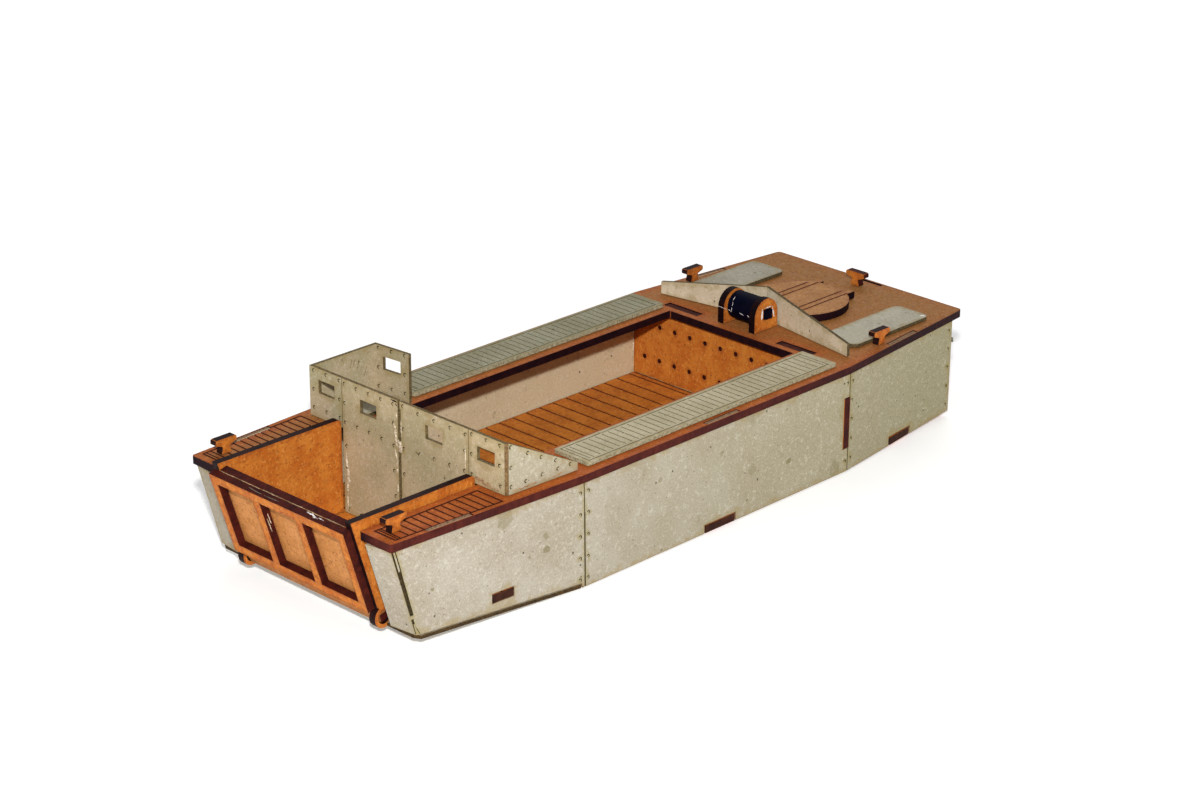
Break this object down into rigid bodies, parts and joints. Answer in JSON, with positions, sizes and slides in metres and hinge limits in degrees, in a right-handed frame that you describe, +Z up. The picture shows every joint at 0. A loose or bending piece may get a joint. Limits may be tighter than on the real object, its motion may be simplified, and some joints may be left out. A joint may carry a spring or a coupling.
{
  "type": "model assault landing craft",
  "caption": "Small board and card model of a ramped assault landing craft, with an open hold, a bow ramp that lowers and two armoured doors that swing.",
  "frame": {"origin": "on the table, on the underside of the base plate, below the middle of the deck's length and width", "axes": "+X towards the bow, +Y to port, +Z up"},
  "size_m": [0.2304, 0.0838, 0.0464],
  "materials": {
    "fibreboard": "raw fibreboard, matt, orange brown, edges burnt dark by the laser",
    "greyboard": "raw greyboard card, matt, pale grey beige with specks",
    "engraved_greyboard": "greyboard card with engraved lines, matt, grey green",
    "burnt_edge": "laser-burnt board edge, dark, slightly glossy"
  },
  "bodies": {
    "hull": {"deck": "fibreboard", "base_plate": "fibreboard", "bow_bottom": "greyboard", "floor": "fibreboard", "side_skin_port": "greyboard", "side_skin_starboard": "greyboard", "well_wall_port": "fibreboard", "well_wall_starboard": "fibreboard", "hold_bulkhead": "fibreboard", "transom": "fibreboard", "steering_shelter": "greyboard", "steering_floor": "greyboard", "gun_shelter": "greyboard", "bench_cover_port": "engraved_greyboard", "bench_cover_starboard": "engraved_greyboard", "cleat_bow_port": "fibreboard", "cleat_bow_starboard": "fibreboard", "cleat_aft_port": "fibreboard", "cleat_aft_starboard": "fibreboard", "cleat_stern": "fibreboard", "winch_cheek_port": "fibreboard", "winch_cheek_starboard": "fibreboard", "winch_drum": "burnt_edge", "winch_shaft": "burnt_edge", "winch_shield": "greyboard", "round_hatch": "fibreboard", "deck_plate_port": "greyboard", "deck_plate_starboard": "greyboard"},
    "ramp": {"ramp_back": "fibreboard", "ramp_frame": "fibreboard"},
    "port_door": {"door_port": "greyboard"},
    "starboard_door": {"door_starboard": "greyboard"}
  },
  "joints": [
    {"name": "ramp_hinge", "type": "hinge", "parent": "hull", "child": "ramp", "pos_m": [0.1055, 0, 0.006], "axis": [0, 1, 0], "range_deg": [0, 77]},
    {"name": "port_door_hinge", "type": "hinge", "parent": "hull", "child": "port_door", "pos_m": [0.0738, 0.0241, 0], "axis": [0, 0, 1], "range_deg": [0, 85]},
    {"name": "starboard_door_hinge", "type": "hinge", "parent": "hull", "child": "starboard_door", "pos_m": [0.0738, -0.0241, 0], "axis": [0, 0, -1], "range_deg": [0, 85]}
  ]
}
